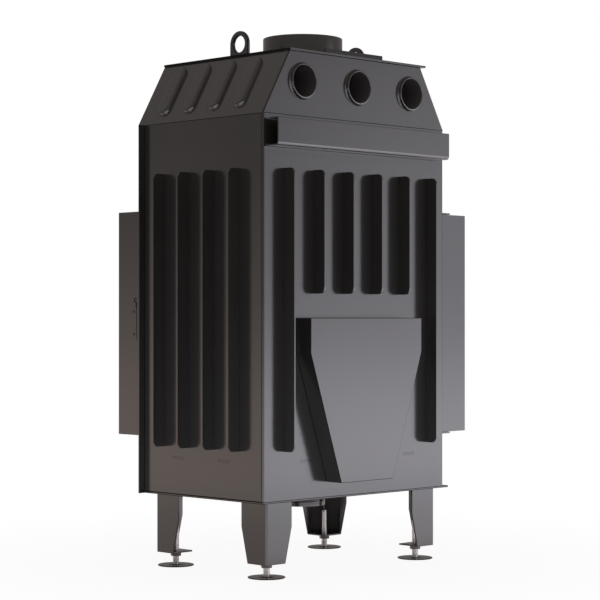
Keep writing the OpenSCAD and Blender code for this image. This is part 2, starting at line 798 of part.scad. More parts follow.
module door_frame() seat() color(frame_black) difference() {
    union() {
        difference() {
            translate([0, 0, door_z]) linear_extrude(door_h) door_plan(0);
            difference() {
                translate([0, 0, door_z + door_t]) linear_extrude(door_h - 2 * door_t) door_plan(door_t);
                window(stile_w - glass_lap - door_t, 0,
                    [inner_window_z[0] - door_t, inner_window_z[1] + door_t]);
            }
        }
        seal_ring(seal_w / 2 + seal_rim, [door_v, door_v + seal_w - door_t], [door_u, door_u + seal_w - door_t]);
    }
    window(stile_w - glass_lap, door_t, inner_window_z);
    window(stile_w, -over, face_window_z);
    seal_ring(seal_w / 2, [door_v - over, door_v + seal_w / 2 + fit], [door_u - over, door_u + seal_w / 2 + fit]);
    slab(keeper_slot_u, [door_v - over, door_v + door_t + over], keeper_slot_z);
    bar_z(hinge_at[0], hinge_at[1], [door_z - over, door_z + door_t + over], 2 * hinge_r + fit);
    bar_z(hinge_at[0], hinge_at[1], [door_top - door_t - over, door_top + over], 2 * hinge_r + fit);
    bar_v(handle_u, [door_front - door_t - over, door_front + over], handle_z, shaft_r + shaft_play);
    bar_u([-over, door_t + over], keyhole_v, handle_z, shaft_r);
    slab([-over, door_t + over], [keyhole_v - key_slit_back, keyhole_v - key_slit_back + key_slit_w],
        [handle_z - 3 * shaft_r, handle_z]);
    for (z = screw_z) bar_u([-over, door_t + over], screw_v, z, screw_r + 2 * fit);
    slab([-over, door_t / 2], [slit_v - slit_w / 2, slit_v + slit_w / 2], slit_z);
}

// Glass panes, their seals and clips
pane_gap = 0.5;
pane_inset = 2;
corner_seal_t = 1;
front_pane_v = [door_front - door_t - pane_gap - glass_t, door_front - door_t - pane_gap];
side_pane_u = [door_side - door_t - pane_gap - glass_t, door_side - door_t - pane_gap];
pane_z = [inner_window_z[0] + pane_inset, inner_window_z[1] - pane_inset];
pane_u0 = stile_w - glass_lap + pane_inset;
pane_v0 = door_tail + pane_u0;
clip_w = 20;
clip_t = 2;
clip_h = 16;
clip_foot = 22;

module front_glass() seat() color(pane_tint) slab([pane_u0, side_pane_u[1]], front_pane_v, pane_z);

module side_glass() seat() color(pane_tint)
    slab(side_pane_u, [pane_v0, front_pane_v[0] - corner_seal_t], pane_z);

module glass_corner_seal() seat() color(rope_grey)
    slab(side_pane_u, [front_pane_v[0] - corner_seal_t, front_pane_v[0]], pane_z);

module glass_tape() seat() color(rope_grey) {
    tape = glass_lap - pane_inset;
    front = [front_pane_v[1], front_pane_v[1] + pane_gap];
    side = [side_pane_u[1], side_pane_u[1] + pane_gap];
    slab([pane_u0, pane_u0 + tape], front, pane_z);
    slab(side, [pane_v0, pane_v0 + tape], pane_z);
    for (z = [pane_z[0], pane_z[1] - tape]) {
        slab([pane_u0, side[1]], front, [z, z + tape]);
        slab(side, [pane_v0, front[1]], [z, z + tape]);
    }
}

// Clip on a reveal at z = 0 that holds a pane standing at y = 0
module clip() {
    slab([-clip_w / 2, clip_w / 2], [-clip_foot, 0], [0, clip_t]);
    slab([-clip_w / 2, clip_w / 2], [-clip_t, 0], [0, clip_h]);
}

module glass_clips() seat() color(bright_steel) {
    clip_shares = [0.3, 0.7];
    for (share = clip_shares, end = [0, 1]) {
        z = inner_window_z[end];
        u = pane_u0 + share * (door_u - pane_u0);
        v = pane_v0 + share * (door_v - pane_v0);
        translate([u, front_pane_v[0], z]) mirror([0, 0, end]) clip();
        translate([side_pane_u[0], v, z]) mirror([0, 0, end]) rotate([0, 0, -90]) clip();
    }
}

module door_seal_rope() seat() color(rope_grey)
    seal_ring(seal_w / 2 - fit, [front_v + fit, door_v + seal_w / 2], [body_w + fit, door_u + seal_w / 2]);

// Door hinges: brackets on the body, pins in the brackets, bushes in the door
bracket_t = 4;
bracket_back = 8;
bracket_w = 28;
bracket_v = [bracket_back, bracket_back + bracket_w];
bracket_reach = 8;
pin_in = 14;
pin_tip = 1;

module hinge_brackets() seat() color(sheet_black) for (z = [door_z - pane_gap - bracket_t, door_top + pane_gap])
    difference() {
        slab([body_w, hinge_at[0] + bracket_reach], bracket_v, [z, z + bracket_t]);
        bar_z(hinge_at[0], hinge_at[1], [z - over, z + bracket_t + over], hinge_r);
    }

module hinge_pins() seat() color(bright_steel) {
    bar_z(hinge_at[0], hinge_at[1], [door_z - pane_gap - bracket_t - pin_tip, door_z + door_t + pin_in], hinge_r);
    bar_z(hinge_at[0], hinge_at[1], [door_top - door_t - pin_in, door_top + pane_gap + bracket_t + pin_tip], hinge_r);
}

module hinge_bushes() seat() color(bright_steel)
    for (z = [[door_z - pane_gap / 2, door_z + door_t + pin_in], [door_top - door_t - pin_in, door_top]])
        difference() {
            bar_z(hinge_at[0], hinge_at[1], z, 2 * hinge_r);
            bar_z(hinge_at[0], hinge_at[1], [z[0] - over, z[1] + over], hinge_r + run);
        }

// Handle and latch. At rest the grip hangs and the hook points up, clear of the keeper
hook_in = 10;
hook_t = 5;
hook_v = [door_v + hook_in, door_v + hook_in + hook_t];
hook_len = 20;
hook_w = 12;
hook_gap = 1;
hook_hub = 3;
shaft_step = 1;
shaft_head = 2;
neck_r = shaft_r - shaft_step;
block_in = 21;
block_t = 40;
block_w = 54;
block_drop = 98;
block_head = 30;
block_v = [door_v + block_in, door_v + block_in + block_t];
block_u = [door_t, door_t + block_w];
block_z = [handle_z - block_drop, handle_z + block_head];
hub_r = 13;
dowel_r = 4;
dowel_in = 1;
dowel_play = 1;
dowel_stop = 2;
keeper_t = 4;
keeper_foot = 10;
keeper_foot_t = 3;
keeper_low_share = 0.45;
keeper_high_share = 0.55;
keeper_z = [handle_z - keeper_low_share * keeper_h, handle_z + keeper_high_share * keeper_h];

// Round bar with round ends, from 0 up to length
module capsule(r, length) {
    rotate_extrude($fn = small_fn) intersection() {
        union() {
            circle(r, $fn = small_fn);
            square([r, length]);
            translate([0, length]) circle(r, $fn = small_fn);
        }
        translate([0, -r]) square([r, length + 2 * r]);
    }
}

module handle_grip() seat() color(bright_steel) difference() {
    union() {
        bar_v(handle_u, [door_front + hub_r / 2, grip_v], handle_z, hub_r - shaft_step);
        translate([handle_u, grip_v, handle_z - grip_len + grip_r]) capsule(grip_r, grip_len - grip_r);
    }
    bar_v(handle_u, [door_front, grip_v - hub_r], handle_z, shaft_r + fit);
}

module handle_shaft() seat() color(bright_steel) union() {
    bar_v(handle_u, [hook_v[0] - shaft_head, hook_v[0]], handle_z, shaft_r + shaft_step);
    bar_v(handle_u, hook_v, handle_z, neck_r);
    bar_v(handle_u, [hook_v[1], grip_v - hub_r], handle_z, shaft_r);
}

module latch_hook() seat() color(bright_steel) difference() {
    union() {
        bar_v(handle_u, hook_v, handle_z, shaft_r + hook_hub);
        slab([handle_u - hook_w / 2, handle_u + hook_w / 2], hook_v, [handle_z, handle_z + hook_len]);
    }
    bar_v(handle_u, [hook_v[0] - over, hook_v[1] + over], handle_z, neck_r + run);
}

module latch_keeper() seat() color(bright_steel) union() {
    slab([keeper_u, keeper_u + keeper_t], [front_v, hook_v[1] + hook_gap + keeper_t], keeper_z);
    slab([keeper_u, keeper_u + keeper_lip], [hook_v[1] + hook_gap, hook_v[1] + hook_gap + keeper_t], keeper_z);
    slab([keeper_u - keeper_foot, keeper_u + keeper_t], [front_v, front_v + keeper_foot_t], keeper_z);
}

module latch_block() seat() color(sheet_black) difference() {
    slab(block_u, block_v, block_z);
    bar_v(handle_u, [block_v[0] - over, block_v[1] + over], handle_z, shaft_r + run);
    bar_u([0, handle_u - shaft_r - dowel_stop], keyhole_v, handle_z, dowel_r + fit);
    for (z = screw_z) bar_u([0, block_u[1] / 2], screw_v, z, screw_r + 2 * fit);
}

module latch_dowel() seat() color(bright_steel)
    bar_u([dowel_in, handle_u - shaft_r - dowel_stop - dowel_play], keyhole_v, handle_z, dowel_r);

module latch_screws() seat() color(sheet_black) for (z = screw_z) {
    bar_u([-door_t / 2, 0], screw_v, z, screw_head_r);
    bar_u([0, block_u[1] / 2 - fit], screw_v, z, screw_r + fit);
}

right_side_panel();
back_panel();
front_frame_plate();
left_frame_plate();
bottom_plate();
hood_right_slope();
hood_left_slope();
hood_back_plate();
top_plate();
flue_collar();
top_stiffener();
lifting_eyes();
heat_tube_right();
heat_tube_middle();
heat_tube_left();
rear_rail();
back_long_fins();
back_short_fins();
side_fins();
rear_air_duct();
leg_rear_right();
leg_rear_left();
leg_front_right();
leg_front_left();
leg_base_plates();
foot_nuts();
foot_rear_right();
foot_rear_left();
foot_front_right();
foot_front_left();
intake_spigot();
air_gate();
air_gate_guides();
air_control_rod();
air_control_knob();
chamber_floor();
lining_back();
lining_right();
lining_floor();
deflector_lower();
deflector_upper();
deflector_supports();
log_guard();
door_frame();
front_glass();
side_glass();
glass_corner_seal();
glass_tape();
glass_clips();
door_seal_rope();
hinge_brackets();
hinge_pins();
hinge_bushes();
handle_grip();
handle_shaft();
latch_hook();
latch_keeper();
latch_block();
latch_screws();
latch_dowel();
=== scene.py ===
import math
import bpy
import bmesh
from mathutils import Matrix, Vector


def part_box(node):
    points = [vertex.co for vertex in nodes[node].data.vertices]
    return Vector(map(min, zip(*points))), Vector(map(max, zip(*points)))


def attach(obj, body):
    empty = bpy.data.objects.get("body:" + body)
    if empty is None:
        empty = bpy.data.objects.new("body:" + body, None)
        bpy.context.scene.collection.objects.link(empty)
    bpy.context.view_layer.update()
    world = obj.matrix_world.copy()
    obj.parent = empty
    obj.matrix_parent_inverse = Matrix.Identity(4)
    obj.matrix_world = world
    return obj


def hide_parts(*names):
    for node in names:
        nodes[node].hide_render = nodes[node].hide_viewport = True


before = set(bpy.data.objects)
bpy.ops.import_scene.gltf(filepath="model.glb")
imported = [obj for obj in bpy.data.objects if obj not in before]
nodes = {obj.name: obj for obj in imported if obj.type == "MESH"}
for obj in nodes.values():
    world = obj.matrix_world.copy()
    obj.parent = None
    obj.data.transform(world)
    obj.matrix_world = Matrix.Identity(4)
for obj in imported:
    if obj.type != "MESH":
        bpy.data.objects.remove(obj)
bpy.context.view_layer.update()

# Studio: a camera level with the middle of the hearth, at the corner between the finned side and the back, over a
# white floor. A large cool lamp behind and a warm one beside it are what the paint mirrors; one above and one in
# front only light it.
camera = bpy.data.objects.new("camera", bpy.data.cameras.new("camera"))
camera.data.lens = 114.6
camera.data.sensor_width = 36
camera.data.shift_y = 17.5 / 600
camera.data.clip_end = 60
camera.location = (3.4304, 3.4861, 0.617)
camera.rotation_mode = "QUATERNION"
camera.rotation_quaternion = Vector((-0.70463, -0.70957, 0)).to_track_quat("-Z", "Y")
bpy.context.scene.collection.objects.link(camera)
bpy.context.scene.camera = camera
bpy.context.scene.view_settings.view_transform = "Standard"


def seen_white(tree, output, lit):
    """Shows plain white to the camera and through glass, and the lit shader to everything else."""
    path = tree.nodes.new("ShaderNodeLightPath")
    either = tree.nodes.new("ShaderNodeMath")
    either.operation = "MAXIMUM"
    tree.links.new(path.outputs["Is Camera Ray"], either.inputs[0])
    tree.links.new(path.outputs["Is Transmission Ray"], either.inputs[1])
    kind = "ShaderNodeBackground" if lit.type == "BACKGROUND" else "ShaderNodeEmission"
    white = tree.nodes.new(kind)
    white.inputs["Color"].default_value = (1, 1, 1, 1)
    white.inputs["Strength"].default_value = 1
    mix = tree.nodes.new("ShaderNodeMixShader")
    tree.links.new(either.outputs[0], mix.inputs["Fac"])
    tree.links.new(lit.outputs[0], mix.inputs[1])
    tree.links.new(white.outputs[0], mix.inputs[2])
    tree.links.new(mix.outputs[0], output.inputs["Surface"])
    return either.outputs[0], mix


def spread(tree, value, low, high, to_low, to_high):
    """A value between low and high, spread over the range from to_low to to_high."""
    wider = tree.nodes.new("ShaderNodeMapRange")
    wider.inputs["From Min"].default_value = low
    wider.inputs["From Max"].default_value = high
    wider.inputs["To Min"].default_value = to_low
    wider.inputs["To Max"].default_value = to_high
    tree.links.new(value, wider.inputs["Value"])
    return wider.outputs["Result"]


def product(tree, first, second):
    """One value times another."""
    times = tree.nodes.new("ShaderNodeMath")
    times.operation = "MULTIPLY"
    tree.links.new(first, times.inputs[0])
    tree.links.new(second, times.inputs[1])
    return times.outputs[0]


def toned(tree, value, dark, light, low=0.0, high=1.0):
    """A colour that goes from dark to light as the value goes from low to high."""
    tone = tree.nodes.new("ShaderNodeValToRGB")
    for stop, place, colour in zip(tone.color_ramp.elements, (low, high), (dark, light)):
        stop.position = place
        stop.color = (*colour, 1)
    tree.links.new(value, tone.inputs["Fac"])
    return tone.outputs["Color"]


def blank_finish(name):
    """A new material: itself, its tree, its shader and the piece's own coordinates."""
    finish = bpy.data.materials.new(name)
    finish.use_nodes = True
    tree = finish.node_tree
    place = tree.nodes.new("ShaderNodeTexCoord").outputs["Object"]
    return finish, tree, tree.nodes["Principled BSDF"], place


world = bpy.data.worlds.new("studio air")
bpy.context.scene.world = world
world.use_nodes = True
air_tree = world.node_tree
air = air_tree.nodes["Background"]
air.inputs["Color"].default_value = (1.0, 0.92, 0.88, 1)
direction = air_tree.nodes.new("ShaderNodeTexCoord").outputs["Generated"]
height = air_tree.nodes.new("ShaderNodeSeparateXYZ")
air_tree.links.new(direction, height.inputs[0])
air_tree.links.new(spread(air_tree, height.outputs["Z"], 0.1, 0.7, 0.28, 0.33), air.inputs["Strength"])
seen_white(air_tree, air_tree.nodes["World Output"], air)

floor_mesh = bmesh.new()
bmesh.ops.create_grid(floor_mesh, x_segments=8, y_segments=8, size=14)
floor_data = bpy.data.meshes.new("floor")
floor_mesh.to_mesh(floor_data)
floor_mesh.free()
floor = bpy.data.objects.new("floor", floor_data)
bpy.context.scene.collection.objects.link(floor)
floor_paint, floor_tree, matte_white, floor_place = blank_finish("white floor")
matte_white.inputs["Base Color"].default_value = (0.5, 0.5, 0.5, 1)
matte_white.inputs["Roughness"].default_value = 0.9
# The floor glows in reflections only, though it is no lamp: a painted reflection that is bright and cool behind
# the object, and warm and darker beside it, as seen in the walls and the legs
beside, behind = 0.1, 0.6
mirrored = floor_tree.nodes.new("ShaderNodeLightPath").outputs["Is Glossy Ray"]
depth = floor_tree.nodes.new("ShaderNodeSeparateXYZ")
floor_tree.links.new(floor_place, depth.inputs[0])
# Glow strength and tint of the floor for mirrored rays: painted reflection, graded from beside to behind
floor_glow_strength = spread(floor_tree, depth.outputs["Y"], beside, behind, 0.42, 1.6)
floor_tree.links.new(product(floor_tree, mirrored, floor_glow_strength), matte_white.inputs["Emission Strength"])
floor_glow_tint = toned(floor_tree, depth.outputs["Y"], (1.0, 0.84, 0.76), (0.95, 0.93, 1.0), beside, behind)
floor_tree.links.new(floor_glow_tint, matte_white.inputs["Emission Color"])
floor_seen, floor_mix = seen_white(floor_tree, floor_tree.nodes["Material Output"], matte_white)
# The floor keeps a little of its own shading near the object, so that the feet cast a soft shadow
reach = floor_tree.nodes.new("ShaderNodeVectorMath")
reach.operation = "LENGTH"
floor_tree.links.new(floor_place, reach.inputs[0])
whiteness = spread(floor_tree, reach.outputs["Value"], 0.35, 1.3, 0.94, 1.0)
floor_tree.links.new(product(floor_tree, floor_seen, whiteness), floor_mix.inputs["Fac"])
floor_data.materials.append(floor_paint)


def softbox(name, place, aim, width, height, watts, colour, mirrored=True):
    """A lamp with a soft edge, at a place and turned to its aim; the camera never sees it, gloss if asked."""
    lamp = bpy.data.objects.new(name, bpy.data.lights.new(name, "AREA"))
    lamp.data.shape = "RECTANGLE"
    lamp.data.size, lamp.data.size_y = width, height
    lamp.data.energy = watts
    lamp.data.color = colour
    lamp.location = place
    lamp.rotation_mode = "QUATERNION"
    lamp.rotation_quaternion = (Vector(aim) - Vector(place)).to_track_quat("-Z", "Y")
    lamp.data.use_nodes = True
    tree = lamp.data.node_tree
    across = tree.nodes.new("ShaderNodeNewGeometry")
    centred = tree.nodes.new("ShaderNodeMapping")
    centred.inputs["Location"].default_value = (-1, -1, 0)
    centred.inputs["Scale"].default_value = (2, 2, 0)
    tree.links.new(across.outputs["Parametric"], centred.inputs["Vector"])
    falloff = tree.nodes.new("ShaderNodeTexGradient")
    falloff.gradient_type = "SPHERICAL"
    tree.links.new(centred.outputs["Vector"], falloff.inputs["Vector"])
    even_middle = spread(tree, falloff.outputs["Fac"], 0, 0.625, 0, 1)
    tree.links.new(even_middle, tree.nodes["Emission"].inputs["Strength"])
    lamp.visible_camera = lamp.visible_transmission = False
    lamp.visible_glossy = mirrored
    bpy.context.scene.collection.objects.link(lamp)


softbox("rear lamp", (-2.0, 1.75, 0.3), (-2.0, 0.26, 0.3), 4.2, 3.8, 70, (0.91, 0.905, 1.0))
softbox("side lamp", (1.5, -1.6, 0.0), (0.35, -1.6, 0.0), 3.6, 2.4, 13.5, (1.0, 0.80, 0.72))
softbox("top lamp", (0, 0.1, 3.6), (0, 0, 1.0), 1.6, 1.6, 10, (1.0, 0.95, 0.91), mirrored=False)
softbox("front lamp", (-1.6, -3.2, 1.6), (-0.2, -0.2, 0.6), 2.4, 1.6, 120, (1.0, 0.98, 0.96), mirrored=False)

# Body sheet: 5 mm steel plate, cut and folded, welded at the corners and sprayed with a semi-gloss heat-resistant
# paint that mirrors the room. Each plate keeps its CAD solid's shape and gets eased edges. These edges carry a
# near-black, dull paint, a painted shade that draws them as fine dark lines.


def noise(tree, place, scale, detail, roughness=0.5):
    """A cloudy pattern on the given coordinates."""
    clouds = tree.nodes.new("ShaderNodeTexNoise")
    clouds.inputs["Scale"].default_value = scale
    clouds.inputs["Detail"].default_value = detail
    clouds.inputs["Roughness"].default_value = roughness
    tree.links.new(place, clouds.inputs["Vector"])
    return clouds.outputs["Fac"]


def raised(tree, pattern, strength, distance):
    """A relief from a pattern, that high in metres."""
    relief = tree.nodes.new("ShaderNodeBump")
    relief.inputs["Strength"].default_value = strength
    relief.inputs["Distance"].default_value = distance
    tree.links.new(pattern, relief.inputs["Height"])
    return relief


def sheet_paint(name, colour, mirror=0.9, shades=(0.9, 1.1), dryest=0.20):
    """Semi-gloss stove paint: clouded colour, a fine grain and a roughness that varies over the sheet."""
    paint, tree, shader, place = blank_finish(name)
    shader.inputs["Specular IOR Level"].default_value = mirror
    cloud = noise(tree, place, 3.5, 6, 0.55)
    grain = noise(tree, place, 620, 2)
    dark, light = ([c * shade for c in colour] for shade in shades)
    speck = tree.nodes.new("ShaderNodeMix")
    speck.data_type = "RGBA"
    speck.blend_type = "MULTIPLY"
    speck.inputs["Factor"].default_value = 0.16
    tree.links.new(toned(tree, cloud, dark, light, 0.3, 0.7), speck.inputs["A"])
    tree.links.new(grain, speck.inputs["B"])
    tree.links.new(speck.outputs["Result"], shader.inputs["Base Color"])
    tree.links.new(spread(tree, cloud, 0, 1, 0.15, dryest), shader.inputs["Roughness"])
    tree.links.new(raised(tree, grain, 0.12, 0.0004).outputs["Normal"], shader.inputs["Normal"])
    return paint


anthracite = sheet_paint("anthracite stove paint", (0.051, 0.049, 0.049))
# Near-black, dull paint for the eased edges: painted shade that draws every edge as a fine dark line
edge_shade_paint = sheet_paint("painted shade on the eased edges", (0.012, 0.012, 0.012), 0.1, (0.95, 1.35), 0.22)


def shown(bm, name, finishes, body, *replaced):
    """Ends a piece: shades it smooth between its sharp edges, paints it, and hangs it on its body."""
    for edge in bm.edges:
        edge.smooth = len(edge.link_faces) == 2 and edge.calc_face_angle(0) < math.radians(32)
    for face in bm.faces:
        face.smooth = True
    data = bpy.data.meshes.new(name)
    bm.to_mesh(data)
    bm.free()
    for finish in finishes:
        data.materials.append(finish)
    piece = bpy.data.objects.new(name, data)
    bpy.context.scene.collection.objects.link(piece)
    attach(piece, body)
    if replaced:
        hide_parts(*replaced)
    return piece


def whole(node):
    """A CAD solid as one mesh, its flat faces joined up again."""
    bm = bmesh.new()
    bm.from_mesh(nodes[node].data)
    bmesh.ops.remove_doubles(bm, verts=bm.verts, dist=0.00001)
    bmesh.ops.dissolve_limit(bm, angle_limit=math.radians(0.5), verts=bm.verts, edges=bm.edges)
    return bm


def flat(piece):
    """Keeps the big faces of a piece flat in the light, beside their round edges."""
    keep = piece.modifiers.new("flat faces stay flat", "WEIGHTED_NORMAL")
    keep.mode = "FACE_AREA"
    keep.weight = 50
    keep.keep_sharp = True
    return piece


def rounded(bm, edges, size, segments, finish=-1):
    """Rounds the given edges off, in the finish of that number."""
    bmesh.ops.bevel(bm, geom=edges, offset=size, offset_type="OFFSET", segments=segments, profile=0.5,
                    affect="EDGES", clamp_overlap=True, material=finish)


def eased(node, body, ease, finishes, segments=2, shortest=0.0):
    """A cut plate with its arrises eased: the CAD solid's faces joined up, then its sharp edges rounded off."""
    bm = whole(node)
    sharp = math.radians(30)
    arrises = [e for e in bm.edges if len(e.link_faces) == 2 and e.calc_face_angle(0) > sharp
               and e.calc_length() > shortest]
    # The rounding takes the second finish where there is one, the near-black edge paint: painted shade along the
    # edges
    rounded(bm, arrises, ease, segments, 1 if len(finishes) > 1 else -1)
    return flat(shown(bm, node + "_sheet", finishes, body, node))


# The short edges of the slots for the floor's tabs and of the holes for the tubes stay crisp
opening_edge = 0.07
for plate, shortest in [("right_side_panel", opening_edge), ("back_panel", opening_edge), ("bottom_plate", 0),
                        ("hood_back_plate", opening_edge)]:
    eased(plate, "body", 0.0014, [anthracite, edge_shade_paint], shortest=shortest)

# Hood slopes: the same sheet, each stiffened by four ribs pressed outward. A rib has a round crown edge, and its
# foot runs into the sheet in a small hollow.
flat_top, rib_rise = 0.0003, 0.0095
for slope, side in [("hood_right_slope", 1), ("hood_left_slope", -1)]:
    sheet = whole(slope)
    outer = [f.normal for f in sheet.faces
             if f.normal.x * side > 0.2 and f.normal.z > 0.1 and abs(f.normal.y) < 0.01]
    outward = sum(outer, Vector()).normalized()
    crown = max(vert.co @ outward for vert in sheet.verts)
    crowns = [e for e in sheet.edges if all(vert.co @ outward > crown - flat_top for vert in e.verts)]
    rounded(sheet, crowns, 0.008, 6)
    feet = [e for e in sheet.edges if len(e.link_faces) == 2 and not e.is_convex and e.calc_face_angle(0) > 0.5
            and all(vert.co @ outward > crown - rib_rise for vert in e.verts)]
    rounded(sheet, feet, 0.003, 4)
    flat(shown(sheet, slope + "_sheet", [anthracite], "body", slope))

# Frame plates: two 4 mm plates that frame the corner opening, laser cut, welded to the body's front and left edges
# and sprayed a little blacker than the body, since they show round the door.
frame_black = sheet_paint("black frame paint", (0.041, 0.040, 0.041))
for plate in ["front_frame_plate", "left_frame_plate"]:
    eased(plate, "body", 0.0006, [frame_black, edge_shade_paint])

# Top plate with its stiffener angle and two lifting eyes: cut plate, welded on and painted with the body, the angle
# by brush. The hoist's shackles go through the eyes, so their rims are rounded off more. The top plate's right and
# left edge faces get the near-black edge paint: painted shade, for the dark band along them.
brushed_on = sheet_paint("dull brushed-on paint", (0.05, 0.048, 0.048), 0.3)
eased("top_stiffener", "body", 0.0006, [brushed_on])
eased("lifting_eyes", "body", 0.0016, [anthracite, edge_shade_paint])
lid = eased("top_plate", "body", 0.0004, [anthracite, edge_shade_paint])
# Faces turned to either side get the near-black edge paint, painted shade; the rest keeps the body paint
for face in lid.data.polygons:
    face.material_index = 1 if abs(face.normal.x) > 0.5 else 0

# Flue collar: a 200 mm ring of 2 mm sheet rolled and welded, with a dressed rim, set on the top plate in a fillet
# weld. The flue pipe's spigot goes down into it.


def bench(u, v, z):
    """A place in mm from the finned side, from the back and from the floor, as metres in the frame."""
    return Vector(((350.5 - u) / 1000, (262 - v) / 1000, z / 1000))


def turned(outline, foot, up=(0, 0, 1), steps=96):
    """A shape spun round its own axis from an outline of (radius, height) in mm; the axis starts at foot."""
    bm = bmesh.new()
    ring = [bm.verts.new((radius / 1000, 0, height / 1000)) for radius, height in outline]
    ends = ring[1:] if outline[0][0] == 0 else ring[1:] + ring[:1]
    sides = [bm.edges.new(pair) for pair in zip(ring, ends)]
    bmesh.ops.spin(bm, geom=ring + sides, cent=(0, 0, 0), axis=(0, 0, 1), dvec=(0, 0, 0), angle=math.tau,
                   steps=steps, use_merge=True, use_duplicate=False)
    bmesh.ops.remove_doubles(bm, verts=bm.verts, dist=0.000002)
    bmesh.ops.recalc_face_normals(bm, faces=bm.faces)
    turn = Vector((0, 0, 1)).rotation_difference(Vector(up)).to_matrix().to_4x4()
    bmesh.ops.transform(bm, matrix=Matrix.Translation(foot) @ turn, verts=bm.verts)
    return bm


def weld_metal(name, colour):
    """Painted weld bead: the paint over it, with the overlapping ripples that the torch leaves."""
    paint = sheet_paint(name, colour)
    tree = paint.node_tree
    place = next(n for n in tree.nodes if n.type == "TEX_COORD").outputs["Object"]
    grain = next(n for n in tree.nodes if n.type == "BUMP")
    ripple = tree.nodes.new("ShaderNodeTexVoronoi")
    ripple.inputs["Scale"].default_value = 420
    tree.links.new(place, ripple.inputs["Vector"])
    rough = raised(tree, ripple.outputs["Distance"], 0.6, 0.0008)
    tree.links.new(grain.outputs["Normal"], rough.inputs["Normal"])
    tree.links.new(rough.outputs["Normal"], tree.nodes["Principled BSDF"].inputs["Normal"])
    return paint


collar_foot = bench(320, 190, 1256)
collar_outline = [(100, 0), (100, 60.6), (99.7, 61.6), (99, 62), (98.3, 61.6), (98, 60.6), (98, 0)]
collar_fillet = [(99.5, 0), (102.6, 0), (101.6, 0.7), (100.8, 1.5), (100.2, 2.7), (99.5, 2.7)]
weld_paint = weld_metal("painted weld bead", (0.040, 0.039, 0.039))
shown(turned(collar_outline, collar_foot), "flue_collar_ring", [anthracite], "body", "flue_collar")
shown(turned(collar_fillet, collar_foot), "flue_collar_weld", [weld_paint], "body")

# Heat tubes: three steel tubes of 84 mm with a 4 mm wall that run through the hood from back to front, unpainted
# inside. Each is welded round in the back plate, and its mouth is chamfered for the stub of a warm-air duct.
mill_steel = sheet_paint("mill scale inside the tubes", (0.13, 0.125, 0.125), 0.3)
tube_front, tube_height, inner_wall = 431, 1180.48, 0.0385
tube_outline = [(42, 0), (42, 438.6), (41.4, 439.6), (40.4, 440), (38.9, 440), (38.2, 439.5), (38, 438.4),
                (38, 1.6), (38.2, 0.5), (38.9, 0), (40.4, 0), (41.4, 0.4)]
tube_fillet = [(41.5, 0), (44.8, 0), (43.9, 0.8), (42.9, 1.6), (42.2, 2.9), (41.5, 2.9)]
for side, u in [("right", 130), ("middle", 320), ("left", 510)]:
    pipe = shown(turned(tube_outline, bench(u, tube_front, tube_height), up=(0, 1, 0)),
                 f"heat_tube_{side}_pipe", [anthracite, mill_steel], "body", f"heat_tube_{side}")
    axis = bench(u, 0, tube_height)
    for face in pipe.data.polygons:
        inward = Vector((axis.x - face.center.x, 0, axis.z - face.center.z))
        face.material_index = 1 if face.normal.dot(inward) > 0 and inward.length < inner_wall else 0
    bead = shown(turned(tube_fillet, axis, up=(0, 1, 0)), f"heat_tube_{side}_weld", [weld_paint], "body")

# Rail, fins and rear air duct: folded and cut sheet welded to the outside. The fins carry heat off the walls, the
# rail takes the hooks of a heat shield, and the duct leads air up to the holes in the back.
eased("rear_rail", "body", 0.0007, [anthracite, edge_shade_paint])
for plate in ["back_long_fins", "back_short_fins", "side_fins"]:
    eased(plate, "body", 0.0007, [anthracite])
eased("rear_air_duct", "body", 0.0014, [anthracite, edge_shade_paint])

# Legs: angles folded from 4 mm sheet that taper towards the foot, each closed below by a base plate with a welded
# nut for the levelling foot. All painted with the body.
for plate in ["leg_rear_right", "leg_rear_left", "leg_front_right", "leg_front_left", "leg_base_plates"]:
    eased(plate, "body", 0.0008, [anthracite, edge_shade_paint])
nut_black = sheet_paint("black nuts", (0.05, 0.05, 0.052))
eased("foot_nuts", "body", 0.0012, [nut_black])

# Levelling feet: a black pressed disc on a zinc-plated stud with a 2 mm thread. The stud is riveted into the disc
# and turns in the leg's nut.


def bare_metal(name, colour, roughness, grain):
    """Bare metal: fine machining lines in its roughness and relief, and a slightly uneven tone."""
    metal, tree, shader, place = blank_finish(name)
    shader.inputs["Metallic"].default_value = 1
    stretch = tree.nodes.new("ShaderNodeMapping")
    stretch.inputs["Scale"].default_value = grain
    tree.links.new(place, stretch.inputs["Vector"])
    lines = noise(tree, stretch.outputs["Vector"], 1, 3)
    tree.links.new(toned(tree, lines, [c * 0.82 for c in colour], colour), shader.inputs["Base Color"])
    tree.links.new(spread(tree, lines, 0, 1, roughness * 0.8, roughness * 1.25), shader.inputs["Roughness"])
    tree.links.new(raised(tree, lines, 0.1, 0.0002).outputs["Normal"], shader.inputs["Normal"])
    return metal


def joined(*parts):
    """Several closed shapes as one piece."""
    merged = bmesh.new()
    for part in parts:
        data = bpy.data.meshes.new("part")
        part.to_mesh(data)
        part.free()
        merged.from_mesh(data)
        bpy.data.meshes.remove(data)
    return merged


def thread(foot, length, outer=8.0, depth=1.2, pitch=2.0, steps=24):
    """A stud's thread: one tooth wound up round a core, each turn meeting the next."""
    bm = bmesh.new()
    tooth = [bm.verts.new((radius / 1000, 0, height / 1000)) for radius, height in
             [(outer - depth, 0), (outer, 0.42 * pitch), (outer, 0.58 * pitch), (outer - depth, pitch)]]
    sides = [bm.edges.new(pair) for pair in zip(tooth, tooth[1:])]
    turns = int(length / pitch) - 1
    bmesh.ops.spin(bm, geom=tooth + sides, cent=(0, 0, 0), axis=(0, 0, 1), dvec=(0, 0, pitch / 1000 / steps),
                   angle=math.tau * turns, steps=steps * turns, use_merge=False, use_duplicate=False)
    bmesh.ops.remove_doubles(bm, verts=bm.verts, dist=0.000002)
    bmesh.ops.recalc_face_normals(bm, faces=bm.faces)
    bmesh.ops.transform(bm, matrix=Matrix.Translation(foot), verts=bm.verts)
    return bm


